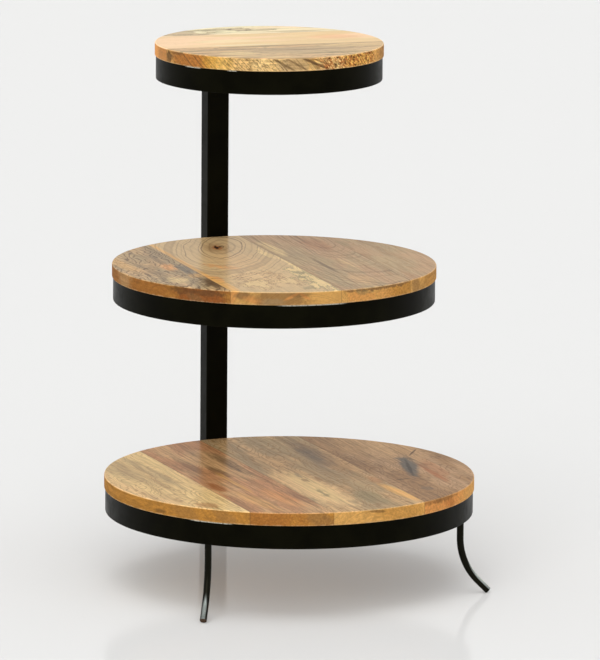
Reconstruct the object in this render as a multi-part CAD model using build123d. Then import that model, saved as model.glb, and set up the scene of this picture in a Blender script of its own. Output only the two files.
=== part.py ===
from build123d import *
from dataclasses import dataclass
from math import asin, cos, degrees, radians, sin, sqrt
import os

# Tiered side table, in millimetres.
# The origin is on the floor, under the middle of the post. +Z is up.
# -Y is the front: the round tiers stand out from the post that way.

# Full width of the wood on each tier
bottom_wood_diameter = 508.0
middle_wood_diameter = 444.0
top_wood_diameter = 314.0

# Height of each hoop's lower edge above the floor
bottom_hoop_height = 100.5
middle_hoop_height = 389.5
top_hoop_height = 685.0

# Sideways place of each hoop on the post's front face, as it was welded
bottom_side_shift = 0.0
middle_side_shift = -10.5
top_side_shift = 8.5

# Hoops of rolled flat bar
hoop_width = 32.0
hoop_thickness = 3.0

# Post of rectangular tube, and the plastic inserts in its ends
post_width = 32.0
post_depth = 25.0
post_wall = 1.5
post_corner_radius = 2.0
post_top_drop = 2.0
insert_head_thickness = 3.0
insert_length = 14.0
insert_clearance = 0.1
insert_corner_chamfer = 1.0

# Rod legs: az is the place round the hoop and flare_az the way the foot points,
# both in degrees from the front towards +X
leg_diameter = 9.5
left_leg_az = -50.0
left_leg_flare_az = -32.0
right_leg_az = 49.0
right_leg_flare_az = 75.0
leg_straight_drop = 22.0
leg_flare_angle = 45.0
leg_foot_length = 20.0
leg_top_gap = 1.0

# Cross bars, set flush with the hoop's upper edge
bar_width = 25.0
bar_thickness = 3.0
bar_offset_share = 0.42
bar_end_gap = 0.3

# Boards: skew turns a tier's boards from square to its bars, in degrees
board_thickness = 18.0
wood_overhang = 1.5
rim_upper_chamfer = 1.5
rim_lower_chamfer = 1.0
post_notch_gap = 0.5
bottom_board_skew = -2.0
middle_board_skew = -5.1
top_board_skew = -7.5

# Seams between the boards, as shares of the wood's radius from the middle of the tier
bottom_seam_shares = (-0.553, -0.141, 0.41)
middle_seam_shares = (-0.556, 0.094, 0.607)
top_seam_shares = (-0.196, 0.509)

# Wood screws, driven up through the bars: they and their holes are drawn many-sided
screw_sides = 8
screw_diameter = 4.0
screw_head_diameter = 8.0
screw_head_height = 2.4
screw_bite = 13.0
screw_point_length = 4.0
screw_point_taper = 20.0
screw_rim_height = 1.1
screw_crown_taper = 45.0
screw_fit_gap = 0.15

# Weld beads
post_bead_leg = 4.0
leg_bead_leg = 3.0
bar_bead_leg = 3.0
bead_setback = 1.5
leg_bead_root_share = 0.4

# How far a cutting tool runs past what it cuts
overrun = 5.0

BASE = (Align.CENTER, Align.CENTER, Align.MIN)


@dataclass
class Tier:
    """One round tier: a hoop, its two cross bars and the boards on them."""

    name: str
    wood_diameter: float
    hoop_height: float
    side_shift: float
    grain_turn: float
    board_skew: float
    seam_shares: tuple
    bar_ends: tuple

    @property
    def wood_radius(self):
        return self.wood_diameter / 2

    @property
    def hoop_radius(self):
        return self.wood_radius - wood_overhang

    @property
    def bore_radius(self):
        return self.hoop_radius - hoop_thickness

    @property
    def hoop_top(self):
        return self.hoop_height + hoop_width

    @property
    def bar_underside(self):
        return self.hoop_top - bar_thickness

    @property
    def bar_offset(self):
        return bar_offset_share * self.bore_radius

    @property
    def seams(self):
        return [share * self.wood_radius for share in self.seam_shares]

    def at(self, height):
        """The tier's middle at a height, with X along the cross bars."""
        middle_y = -(post_depth / 2 + self.hoop_radius)
        return Pos(self.side_shift, middle_y, height) * Rot(0, 0, self.grain_turn)


bottom_tier = Tier("bottom", bottom_wood_diameter, bottom_hoop_height, bottom_side_shift,
                   0, bottom_board_skew, bottom_seam_shares, ("front", "rear"))
middle_tier = Tier("middle", middle_wood_diameter, middle_hoop_height, middle_side_shift,
                   0, middle_board_skew, middle_seam_shares, ("front", "rear"))
top_tier = Tier("top", top_wood_diameter, top_hoop_height, top_side_shift,
                90, top_board_skew, top_seam_shares, ("right", "left"))
TIERS = (bottom_tier, middle_tier, top_tier)


# Post

def post_top():
    """Height of the upper insert's head, just under the edge of the top hoop."""
    return top_tier.hoop_top - post_top_drop


def post_section(wall_inset):
    """The tube's rounded outline, drawn in by a wall or a clearance."""
    radius = max(post_corner_radius - wall_inset, post_corner_radius / 4)
    return RectangleRounded(post_width - 2 * wall_inset, post_depth - 2 * wall_inset, radius)


def post_envelope():
    """The post's outside as a solid bar from the floor to its top."""
    return extrude(post_section(0), post_top())


def make_post():
    length = post_top() - 2 * insert_head_thickness
    tube = extrude(post_section(0) - post_section(post_wall), length)
    return Pos(0, 0, insert_head_thickness) * tube


def insert():
    """A tube insert with its head below and its plug above."""
    head = extrude(post_section(0), insert_head_thickness)
    inset = 2 * (post_wall + insert_clearance)
    outline = Rectangle(post_width - inset, post_depth - inset)
    outline = chamfer(outline.vertices(), insert_corner_chamfer)
    return head + Pos(0, 0, insert_head_thickness) * extrude(outline, insert_length)


def make_foot_glide():
    return insert()


def make_top_plug():
    return Pos(0, 0, post_top()) * Rot(180, 0, 0) * insert()


# Hoops and cross bars

def make_hoop(tier):
    band = Cylinder(tier.hoop_radius, hoop_width, align=BASE)
    bore = Pos(0, 0, -overrun) * Cylinder(tier.bore_radius, hoop_width + 2 * overrun, align=BASE)
    return tier.at(tier.hoop_height) * (band - bore)


def bar_half_length(tier):
    """From the middle of a bar to the nearer corner of its round-cut end."""
    end_radius = tier.bore_radius - bar_end_gap
    corner_offset = tier.bar_offset + bar_width / 2
    return sqrt(end_radius**2 - corner_offset**2)


def screw_places(tier, offset):
    """Two screws a bar, each midway between its end and the first seam that crosses it."""
    skew = radians(tier.board_skew)
    crossings = [(seam - offset * sin(skew)) / cos(skew) for seam in tier.seams]
    half_length = bar_half_length(tier)
    return (crossings[0] - half_length) / 2, (crossings[-1] + half_length) / 2


def screw_hole(depth):
    """A cutter for a screw's hole, which stands clear of the shank on all sides."""
    outline = RegularPolygon(screw_diameter / 2 + screw_fit_gap, screw_sides, major_radius=False)
    return extrude(outline, depth)


def make_bar(tier, offset):
    ends = Cylinder(tier.bore_radius - bar_end_gap, bar_thickness, align=BASE)
    strip = Pos(0, offset, 0) * Box(tier.wood_diameter, bar_width, bar_thickness, align=BASE)
    bar = ends & strip
    hole = screw_hole(bar_thickness + 2 * overrun)
    for x in screw_places(tier, offset):
        bar -= Pos(x, offset, -overrun) * hole
    return tier.at(tier.bar_underside) * bar


# Legs

def toward(azimuth, reach):
    """A sideways move of reach, at an angle from the front towards +X."""
    angle = radians(azimuth)
    return Pos(reach * sin(angle), -reach * cos(angle), 0)


def leg_axis(azimuth):
    """Where a leg stands: its rod touches the bottom hoop from inside."""
    reach = bottom_tier.bore_radius - leg_diameter / 2
    return bottom_tier.at(0) * toward(azimuth, reach)


def leg_top():
    return bottom_tier.bar_underside - leg_top_gap


def leg_path():
    """The rod's centre line, down and out along X: straight, one bend, straight foot."""
    angle = radians(leg_flare_angle)
    foot_height = leg_diameter / 2 * sin(angle)
    ankle_height = foot_height + leg_foot_length * cos(angle)
    bend_top = bottom_hoop_height - leg_straight_drop
    bend_radius = (bend_top - ankle_height) / sin(angle)
    ankle_x = bend_radius * (1 - cos(angle))
    foot_x = ankle_x + leg_foot_length * sin(angle)
    shin = Line((0, leg_top()), (0, bend_top))
    bend = CenterArc((bend_radius, bend_top), bend_radius, 180, leg_flare_angle)
    foot = Line((ankle_x, ankle_height), (foot_x, foot_height))
    return Plane.XZ * Wire([shin, bend, foot])


def make_leg(azimuth, flare_azimuth):
    path = leg_path()
    rod = sweep(Plane(origin=path @ 0, z_dir=path % 0) * Circle(leg_diameter / 2), path)
    return leg_axis(azimuth) * Rot(0, 0, flare_azimuth - 90) * rod


# Boards

def blank_top(tier):
    """The whole round top before it is parted into boards, with its rim eased."""
    disc = Cylinder(tier.wood_radius, board_thickness, align=BASE)
    disc = chamfer(disc.edges().group_by(Axis.Z)[-1], rim_upper_chamfer)
    return chamfer(disc.edges().group_by(Axis.Z)[0], rim_lower_chamfer)


def post_clearance():
    """The room that the boards leave for the post where it passes them."""
    gap = 2 * post_notch_gap
    return Box(post_width + gap, post_depth + gap, post_top(), align=BASE)


def pilot_holes(tier):
    """Blind holes for this tier's screws, measured from the boards' underside."""
    hole = screw_hole(overrun + screw_bite + screw_fit_gap)
    holes = []
    for offset in (-tier.bar_offset, tier.bar_offset):
        holes += [Pos(x, offset, -overrun) * hole for x in screw_places(tier, offset)]
    return holes


def make_boards(tier):
    """The boards in order across the grain, each with its seams cut flat."""
    top = blank_top(tier)
    edge = tier.wood_radius + overrun
    cuts = [-edge, *tier.seams, edge]
    holes = pilot_holes(tier)
    boards = []
    for start, end in zip(cuts, cuts[1:]):
        strip = Box(end - start, 2 * edge, board_thickness, align=BASE)
        strip = Rot(0, 0, tier.board_skew) * Pos((start + end) / 2, 0, 0) * strip
        board = tier.at(tier.hoop_top) * ((top & strip) - holes)
        boards.append(board - post_clearance())
    return boards


# Screws

def screw():
    """A pan-head screw that points up, with its head's flat at height zero."""
    shank_length = bar_thickness + screw_bite - screw_point_length
    shank_outline = RegularPolygon(screw_diameter / 2, screw_sides)
    shank = extrude(shank_outline, shank_length)
    point = extrude(shank_outline, screw_point_length, taper=screw_point_taper)
    head_outline = RegularPolygon(screw_head_diameter / 2, screw_sides)
    rim = extrude(head_outline, screw_rim_height)
    crown = extrude(head_outline, screw_head_height - screw_rim_height, taper=screw_crown_taper)
    head = rim + Pos(0, 0, screw_rim_height) * crown
    return shank + Pos(0, 0, shank_length) * point + Rot(180, 0, 0) * head


def make_screws(tier):
    single = screw()
    screws = []
    for offset in (-tier.bar_offset, tier.bar_offset):
        for x in screw_places(tier, offset):
            screws.append(tier.at(tier.bar_underside) * Pos(x, offset, 0) * single)
    return Compound(screws)


# Weld beads

def post_beads(tier):
    """Two upright beads, in the grooves between the hoop and the post's front corners."""
    height = hoop_width - 2 * bead_setback
    leg = post_bead_leg
    root = post_corner_radius
    outline = Polyline((-root, leg), (0, leg), (leg, 0), (leg, -leg), (-root, -leg), close=True)
    blank = extrude(make_face(outline), height)
    hoop_outside = tier.at(tier.hoop_height) * Cylinder(tier.hoop_radius, hoop_width, align=BASE)
    beads = []
    for side, bead in ((1, blank), (-1, mirror(blank, Plane.YZ))):
        corner = Pos(side * post_width / 2, -post_depth / 2, tier.hoop_height + bead_setback)
        beads.append(corner * bead - post_envelope() - hoop_outside)
    return beads


def bar_beads(tier):
    """A fillet under each end of both bars, along the curve of the hoop's bore."""
    low = (tier.bar_offset - bar_width / 2) / tier.bore_radius
    high = (tier.bar_offset + bar_width / 2) / tier.bore_radius
    start = degrees(asin(low))
    sweep_angle = degrees(asin(high)) - start
    inner = tier.bore_radius - bar_bead_leg
    section = Polyline((inner, 0), (tier.bore_radius, 0), (tier.bore_radius, -bar_bead_leg), close=True)
    bead = Rot(0, 0, start) * revolve(make_face(Plane.XZ * section), Axis.Z, sweep_angle)
    pair = [bead, mirror(bead, Plane.YZ)]
    four = pair + [mirror(one, Plane.XZ) for one in pair]
    return [tier.at(tier.bar_underside) * one for one in four]


def leg_beads(azimuth):
    """Two upright beads in the grooves between a leg's top and the hoop."""
    base_height = bottom_hoop_height + bead_setback
    height = leg_top() - bead_setback - base_height
    radius = leg_diameter / 2
    root = leg_bead_root_share * radius
    toe = radius + leg_bead_leg
    shoulder = leg_bead_leg - radius
    outline = Polyline((root, -toe), (toe, -toe), (toe, -radius), (radius, shoulder), (root, shoulder),
                       close=True)
    blank = extrude(make_face(outline), height)
    rod = Cylinder(radius, height, align=BASE)
    bore = bottom_tier.at(base_height) * Cylinder(bottom_tier.bore_radius, height, align=BASE)
    stand = leg_axis(azimuth) * Pos(0, 0, base_height) * Rot(0, 0, azimuth)
    return [stand * (bead - rod) & bore for bead in (blank, mirror(blank, Plane.YZ))]


# The whole table, one entry a node

def build():
    nodes = {
        "post": make_post(),
        "post_top_plug": make_top_plug(),
        "post_foot_glide": make_foot_glide(),
        "left_leg": make_leg(left_leg_az, left_leg_flare_az),
        "right_leg": make_leg(right_leg_az, right_leg_flare_az),
        "leg_welds": Compound(leg_beads(left_leg_az) + leg_beads(right_leg_az)),
    }
    for tier in TIERS:
        nodes[f"{tier.name}_hoop"] = make_hoop(tier)
        nodes[f"{tier.name}_post_welds"] = Compound(post_beads(tier))
        nodes[f"{tier.name}_bar_welds"] = Compound(bar_beads(tier))
        nodes[f"{tier.name}_tier_screws"] = make_screws(tier)
        for end, offset in zip(tier.bar_ends, (-tier.bar_offset, tier.bar_offset)):
            nodes[f"{tier.name}_bar_{end}"] = make_bar(tier, offset)
        for number, board in enumerate(make_boards(tier), start=1):
            nodes[f"{tier.name}_board_{number}"] = board
    return nodes


def main():
    os.makedirs("parts", exist_ok=True)
    for name, shape in build().items():
        export_step(shape, f"parts/{name}.step")


main()
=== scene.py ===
import math
from dataclasses import dataclass
from functools import cache

import bmesh
import bpy
from bpy.props import FloatProperty, FloatVectorProperty, IntProperty, PointerProperty
from mathutils import Matrix, Vector


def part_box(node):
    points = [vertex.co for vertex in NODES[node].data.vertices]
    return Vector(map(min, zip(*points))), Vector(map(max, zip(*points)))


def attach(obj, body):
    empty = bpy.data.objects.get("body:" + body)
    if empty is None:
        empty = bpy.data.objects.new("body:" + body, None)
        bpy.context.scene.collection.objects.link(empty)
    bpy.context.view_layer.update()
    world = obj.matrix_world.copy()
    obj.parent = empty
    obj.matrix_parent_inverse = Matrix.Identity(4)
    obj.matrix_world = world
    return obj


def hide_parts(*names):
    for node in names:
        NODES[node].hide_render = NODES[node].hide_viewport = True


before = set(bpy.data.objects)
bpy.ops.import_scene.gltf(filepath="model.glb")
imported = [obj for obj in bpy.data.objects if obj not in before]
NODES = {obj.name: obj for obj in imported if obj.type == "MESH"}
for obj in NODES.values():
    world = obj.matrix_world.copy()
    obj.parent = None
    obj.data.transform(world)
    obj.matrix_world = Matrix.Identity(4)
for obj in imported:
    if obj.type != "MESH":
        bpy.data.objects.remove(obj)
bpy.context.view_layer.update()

bl_info = {
    "name": "Tiered side table",
    "version": (1, 0, 0),
    "blender": (4, 5, 0),
    "location": "View3D > Sidebar > Table",
    "description": "Wood, steel, screws and welds for the packed frame of a tiered side table",
    "category": "Object",
}

MM = 0.001
UP = Vector((0.0, 0.0, 1.0))
DEGREE = math.pi / 180
FULL_TURN = 2 * math.pi

WOOD_OVERHANG = 1.5 * MM
HOOP_THICKNESS = 3.0 * MM
BAR_THICKNESS = 3.0 * MM
BAR_WIDTH = 25.0 * MM
BAR_OFFSET_SHARE = 0.42
BAR_END_GAP = 0.3 * MM
POST_HALF_WIDTH = 16.0 * MM
POST_HALF_DEPTH = 12.5 * MM
POST_NOTCH_GAP = 0.5 * MM
LEG_RADIUS = 4.75 * MM


@dataclass(frozen=True)
class Tier:
    """One round tier. Lengths are in metres and angles in degrees."""

    name: str
    side_shift: float
    wood_radius: float
    board_skew: float
    bar_turn: float
    seam_shares: tuple
    passes_post: bool

    @property
    def middle(self):
        return self.side_shift, -(POST_HALF_DEPTH + self.hoop_radius)

    @property
    def hoop_radius(self):
        return self.wood_radius - WOOD_OVERHANG

    @property
    def bore_radius(self):
        return self.hoop_radius - HOOP_THICKNESS

    @property
    def hoop_bottom(self):
        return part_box(f"{self.name}_hoop")[0].z

    @property
    def hoop_top(self):
        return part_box(f"{self.name}_hoop")[1].z

    @property
    def top(self):
        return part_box(f"{self.name}_board_1")[1].z

    @property
    def bar_underside(self):
        return self.hoop_top - BAR_THICKNESS

    @property
    def bar_offset(self):
        return BAR_OFFSET_SHARE * self.bore_radius

    @property
    def seams(self):
        return [share * self.wood_radius for share in self.seam_shares]

    def place(self, point, height, turn):
        """A point given round the tier's middle, turned by so many degrees and lifted."""
        x, y = point
        angle = math.radians(turn)
        return Vector((
            self.middle[0] + x * math.cos(angle) - y * math.sin(angle),
            self.middle[1] + x * math.sin(angle) + y * math.cos(angle),
            height,
        ))


TIERS = (
    Tier("bottom", 0.0, 254.0 * MM, -2.0, 0.0, (-0.553, -0.141, 0.41), True),
    Tier("middle", -10.5 * MM, 222.0 * MM, -5.1, 0.0, (-0.556, 0.094, 0.607), True),
    Tier("top", 8.5 * MM, 157.0 * MM, 82.5, 90.0, (-0.196, 0.509), False),
)


@dataclass(frozen=True)
class Leg:
    """A leg's place round the hoop and the way its foot points, in degrees from the front
    towards +X, and the upward slopes between which its foot goes from coated to a painted
    highlight of bright metal."""

    place: float
    flare: float
    highlight_slopes: tuple


LEGS = {
    "left_leg": Leg(-50.0, -32.0, (0.5, 0.68)),
    "right_leg": Leg(49.0, 75.0, (0.24, 0.45)),
}
# How many degrees a leg's sawn end looks down, and how high the painted highlight on its foot
# reaches
LEG_END_DIP = 45.0
LEG_HIGHLIGHT_HEIGHT = 60.0 * MM


# Sizes and colours that a user would change

def length_property(name, description, default, low, high):
    """A length, with its values given in millimetres."""
    return FloatProperty(name=name, description=description, default=default * MM,
                         min=low * MM, max=high * MM, precision=4, unit="LENGTH")


def share_property(name, description, default, low=0.0):
    return FloatProperty(name=name, description=description, default=default,
                         min=low, max=1.0, subtype="FACTOR")


def colour_property(name, description, default):
    return FloatVectorProperty(name=name, description=description, default=default,
                               min=0.0, max=1.0, size=3, subtype="COLOR")


def tiers_property(name, description, default, low, high):
    """One number for each tier, from the bottom one up."""
    return FloatVectorProperty(name=name, description=description, default=default,
                               min=low, max=high, size=3)


def light_property(name, description, default, high=10.0):
    return FloatProperty(name=name, description=f"Strength of {description}",
                         default=default, min=0.0, max=high)


class TableSizes(bpy.types.PropertyGroup):
    """Sizes of the details that finish the frame's plain solids"""

    upper_round: length_property(
        "Upper edge round", "Radius of the boards' eased upper edge", 2.0, 0.2, 4.0)
    lower_round: length_property(
        "Lower edge round", "Radius of the boards' lower edge", 1.0, 0.2, 3.0)
    bar_round: length_property(
        "Flat bar round", "Radius on the long corners of the rolled flat bar", 0.6, 0.1, 1.4)
    full_turn_steps: IntProperty(
        name="Steps round a tier", default=288, min=48, max=720,
        description="Straight steps that a full turn of a rim or hoop has")
    screw_head: length_property(
        "Screw head", "Diameter of the pan-head screws' heads", 8.0, 5.0, 9.0)
    bead_radius: length_property(
        "Weld bead radius", "Radius of the round weld beads", 2.2, 1.0, 4.0)
    ripple_pitch: length_property(
        "Weld ripple pitch", "Distance between the ripples of a weld bead", 1.3, 0.5, 4.0)


class TableFinish(bpy.types.PropertyGroup):
    """Colours and gloss of the finishes"""

    steel: colour_property(
        "Powder coat", "Colour of the black powder coat", (0.002, 0.0019, 0.0006))
    steel_roughness: share_property(
        "Powder coat roughness", "Roughness of the satin powder coat", 0.36, 0.05)
    # The next two scale each tier's wood and rim tones: partly the wood's own tone, partly painted
    # light and shade set by how light falls on each tier
    wood_tone_and_painted_light: tiers_property(
        "Wood brightness", "How light the wood of the bottom, middle and top tier is",
        (1.19, 1.18, 1.14), 0.2, 2.0)
    rim_tone_and_painted_light: tiers_property(
        "Rim brightness", "How light the rims of the bottom, middle and top tier are",
        (0.98, 0.9, 1.3), 0.2, 2.0)
    varnish_weight: tiers_property(
        "Varnish", "How strong the varnish's sheen is on the bottom, middle and top tier",
        (0.33, 0.43, 0.49), 0.0, 1.0)
    varnish_roughness: share_property(
        "Varnish roughness", "Roughness of the satin varnish on the boards", 0.25, 0.05)
    zinc: colour_property("Zinc", "Colour of the zinc-plated screws", (0.58, 0.57, 0.53))
    plastic: colour_property(
        "Plastic", "Colour of the moulded inserts in the post", (0.018, 0.018, 0.018))


class TableStage(bpy.types.PropertyGroup):
    """Floor, light and background"""

    floor: colour_property(
        "Floor", "Colour of the floor and of the background", (0.871, 0.871, 0.863))
    floor_mirror: share_property(
        "Floor mirror", "Share of the floor's light that it mirrors", 0.11)
    ground: share_property(
        "Floor tone", "Share of the background's colour that the lit floor is painted", 0.73)
    fill: light_property("Fill light", "the even light from all round", 0.62, 2.0)
    key: light_property("Key light", "the large soft lamp from the front left", 1.15)
    side: light_property("Side light", "the large soft lamp from the right", 0.5)
    rear: light_property("Rear light", "the low soft lamp behind the table", 0.7)
    overhead: light_property(
        "Overhead light", "the high soft lamp that lights the floor alone", 0.8)
    wash: light_property("Floor wash", "the lamp that lightens the floor's shadows", 0.79)


# Node trees

def spaced(values):
    """Values by name, with a space for each _ in a name."""
    return {name.replace("_", " "): value for name, value in values.items()}


class Wiring:
    """Puts nodes into one tree and joins their sockets."""

    def __init__(self, tree):
        self.tree = tree

    def feed(self, socket, value):
        """Joins an output to a socket, or writes a plain value on it."""
        if isinstance(value, bpy.types.NodeSocket):
            self.tree.links.new(value, socket)
        elif value is not None:
            socket.default_value = value

    def node(self, kind, *values, inputs=None, **settings):
        """A new node, its settings made and its inputs fed, first in order and then by name."""
        made = self.tree.nodes.new(kind)
        for name, value in settings.items():
            setattr(made, name, value)
        for socket, value in zip(made.inputs, values):
            self.feed(socket, value)
        for name, value in (inputs or {}).items():
            self.feed(made.inputs[name], value)
        return made

    def out(self, kind, *values, output=0, **rest):
        """One output of a new node."""
        return self.node(kind, *values, **rest).outputs[output]

    def group(self, tree, **inputs):
        """The outputs of a node group, its inputs fed by name with _ for a space."""
        return self.node("ShaderNodeGroup", node_tree=tree, inputs=spaced(inputs)).outputs

    def close(self, **outputs):
        """Ends a node group with its outputs, named with _ for a space, and gives its tree."""
        named = spaced(outputs)
        for name, value in named.items():
            self.tree.interface.new_socket(
                name, in_out="OUTPUT", socket_type=f"NodeSocket{OUTPUT_KINDS[value.type]}")
        self.node("NodeGroupOutput", inputs=named)
        return self.tree

    def math(self, operation, *values, clamp=False):
        return self.out("ShaderNodeMath", *values, operation=operation, use_clamp=clamp)

    def times(self, product, *factors):
        for factor in factors:
            product = self.math("MULTIPLY", product, factor)
        return product

    def scaled(self, value, factor, offset):
        """The value times a factor, moved by an offset."""
        return self.math("MULTIPLY_ADD", value, factor, offset)

    def minus(self, value, other=0.5):
        """The value less another. As it stands it brings noise, which lies about a half, to
        about zero."""
        return self.math("SUBTRACT", value, other)

    def apart(self, value, other):
        """How far two values lie from each other."""
        return self.math("ABSOLUTE", self.minus(value, other))

    def span(self, value, low, high, start=0.0, end=1.0):
        """The value eased from low and high to start and end, and held there."""
        return self.out("ShaderNodeMapRange", value, low, high, start, end,
                        output="Result", interpolation_type="SMOOTHSTEP")

    def vector(self, operation, *values):
        output = "Value" if operation in {"LENGTH", "DOT_PRODUCT"} else "Vector"
        return self.out("ShaderNodeVectorMath", *values, output=output, operation=operation)

    def combined(self, *values):
        return self.out("ShaderNodeCombineXYZ", *values)

    def triple(self, value):
        """A vector of the same number three times."""
        return self.combined(value, value, value)

    def axes(self, vector):
        return self.node("ShaderNodeSeparateXYZ", vector).outputs

    def turned(self, vector, angle):
        """A vector turned about Z."""
        return self.out("ShaderNodeVectorRotate", inputs={"Vector": vector, "Angle": angle},
                        rotation_type="Z_AXIS")

    def normal(self):
        return self.out("ShaderNodeNewGeometry", output="Normal")

    def upward(self):
        """How far a face looks up, from -1 to 1."""
        return self.axes(self.normal())["Z"]

    def noise(self, vector, scale, shift=None, detail=2.0, roughness=0.5, distortion=0.0):
        """Cloudy noise from 0 to 1, with so many clouds to a unit of the vector."""
        scale = (scale,) * 3 if isinstance(scale, float) else scale
        operation = "MULTIPLY" if shift is None else "MULTIPLY_ADD"
        return self.out("ShaderNodeTexNoise", inputs={
            "Vector": self.vector(operation, vector, scale, shift), "Scale": 1.0,
            "Detail": detail, "Roughness": roughness, "Distortion": distortion})

    def line_noise(self, value, detail=1.0):
        """The same along one number."""
        return self.out("ShaderNodeTexNoise", noise_dimensions="1D",
                        inputs={"W": value, "Scale": 1.0, "Detail": detail})

    def blend(self, share, first, second, mode="MIX"):
        """Two colours mixed by a share from 0 to 1."""
        made = self.node("ShaderNodeMix", data_type="RGBA", blend_type=mode)
        for index, value in zip((0, 6, 7), (share, first, second)):
            self.feed(made.inputs[index], value)
        return made.outputs[2]

    def lay(self, colour, paint, mask, share):
        """A colour with a share of paint laid over it where the mask is."""
        return self.blend(self.times(mask, share), colour, paint)

    def relief(self, height, strength, distance):
        """The normal that a height gives a surface."""
        return self.out("ShaderNodeBump", inputs={
            "Strength": strength, "Distance": distance, "Height": height})


OUTPUT_KINDS = {"VALUE": "Float", "VECTOR": "Vector", "GEOMETRY": "Geometry"}


def new_tree(name, family="ShaderNodeTree", **inputs):
    """The wiring and the inner sockets of a new node group. Its inputs are named with _ for a
    space, each as its kind of socket or as the number or vector that is its default."""
    tree = bpy.data.node_groups.new(name, family)
    for label, given in spaced(inputs).items():
        kind = {float: "Float", tuple: "Vector"}.get(type(given), given)
        socket = tree.interface.new_socket(
            label, in_out="INPUT", socket_type=f"NodeSocket{kind}")
        if kind != given:
            socket.default_value = given
    w = Wiring(tree)
    return w, w.node("NodeGroupInput").outputs


@cache
def rings_group():
    """Growth rings round a pith point: a mask of the dark late wood."""
    w, inner = new_tree(
        "Growth rings", Vector="Vector", Pith=(0.0, 0.0, -60.0), Stretch=(1.0, 0.02, 1.0),
        Turn=0.0, Ring_Width=6.0, Waviness=6.0, Late_Start=0.45, Reach=9000.0, Seed=0.0)
    shift = w.triple(inner["Seed"])
    from_pith = w.turned(w.vector("SUBTRACT", inner["Vector"], inner["Pith"]),
                         w.times(inner["Turn"], -DEGREE))
    broad = w.noise(inner["Vector"], (0.014, 0.0045, 0.014), shift)
    close = w.noise(inner["Vector"], (0.08, 0.014, 0.08), shift)
    wave = w.scaled(w.minus(close), 0.22, w.minus(broad))
    distance = w.scaled(wave, w.times(inner["Waviness"], 2.0),
                        w.vector("LENGTH", w.vector("MULTIPLY", from_pith, inner["Stretch"])))
    count = w.math("DIVIDE", distance, inner["Ring Width"])
    bunching = w.line_noise(w.scaled(count, 0.4, inner["Seed"]))
    count = w.scaled(bunching, 2.4, count)
    age = w.math("FRACT", count)
    late = w.times(w.span(age, inner["Late Start"], 0.9), w.span(age, 1.0, 0.92))
    year = w.out("ShaderNodeTexWhiteNoise", output="Value", noise_dimensions="1D",
                 inputs={"W": w.math("ADD", w.math("FLOOR", count), inner["Seed"])})
    strength = w.scaled(w.math("POWER", year, 1.4), 0.85, 0.15)
    fade = w.span(distance, w.times(inner["Reach"], 1.4), w.times(inner["Reach"], 0.6), 0.15)
    return w.close(Late_Wood=w.times(late, strength, fade))


@cache
def fibre_group():
    """Fibres, veins, broad streaks and areas, and pores, that run along the grain and wander."""
    w, inner = new_tree("Wood fibre", Vector="Vector", Wander=12.0, Seed=0.0)
    shift = w.triple(inner["Seed"])
    bend = w.minus(w.noise(inner["Vector"], (0.022, 0.011, 0.022), shift))
    line = w.vector("ADD", inner["Vector"], w.combined(w.times(bend, inner["Wander"])))
    veins = w.noise(line, (0.19, 0.0055, 0.19), shift, 4.0, 0.75)
    areas = w.noise(line, (0.016, 0.005, 0.016), shift, 3.0, 0.55)
    field = w.noise(inner["Vector"], (0.026, 0.009, 0.026), shift, 3.0, 0.42, 0.3)
    band = w.math("FRACT", w.times(field, 17.0))
    cells = w.node("ShaderNodeTexVoronoi", inputs={
        "Vector": w.vector("MULTIPLY_ADD", line, (0.5, 0.05, 0.5), shift), "Scale": 1.0}).outputs
    chosen = w.out("ShaderNodeTexWhiteNoise", cells["Position"], output="Value")
    return w.close(
        Fibre=w.noise(line, (0.34, 0.009, 0.34), shift, 4.0, 0.7),
        Vein=w.span(veins, 0.57, 0.68),
        Streak=w.noise(line, (0.07, 0.0045, 0.07), shift, 3.0, 0.6),
        Cloud=w.noise(line, (0.03, 0.011, 0.03), shift, 4.0, 0.6, 0.5),
        Area=w.span(areas, 0.42, 0.6),
        Figure=w.span(w.math("ABSOLUTE", w.scaled(band, 2.0, -1.0)), 0.55, 0.97),
        Pore=w.times(w.span(cells["Distance"], 0.2, 0.08), w.span(chosen, 0.45, 0.6)))


@cache
def stain_group():
    """A ragged oval mask, for a stain, a knot or a patch of other wood, and its outline."""
    w, inner = new_tree(
        "Wood stain", Place="Vector", Grain="Vector", Centre="Vector",
        Half_Size=(10.0, 10.0, 1000.0), Turn=0.0, Ragged=0.4, Soft=0.4, Seed=0.0)
    offset = w.turned(w.vector("SUBTRACT", inner["Place"], inner["Centre"]),
                      w.times(inner["Turn"], -DEGREE))
    reach = w.vector("LENGTH", w.vector("DIVIDE", offset, inner["Half Size"]))
    edge = w.noise(inner["Grain"], (0.13, 0.03, 0.13), w.triple(inner["Seed"]), 5.0, 0.7)
    reach = w.scaled(w.minus(edge), w.times(inner["Ragged"], 5.0), reach)
    return w.close(
        Mask=w.span(reach, w.math("ADD", 1.0, inner["Soft"]), w.minus(1.0, inner["Soft"])),
        Outline=w.span(w.apart(reach, 1.0), 0.3, 0.0))


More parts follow.
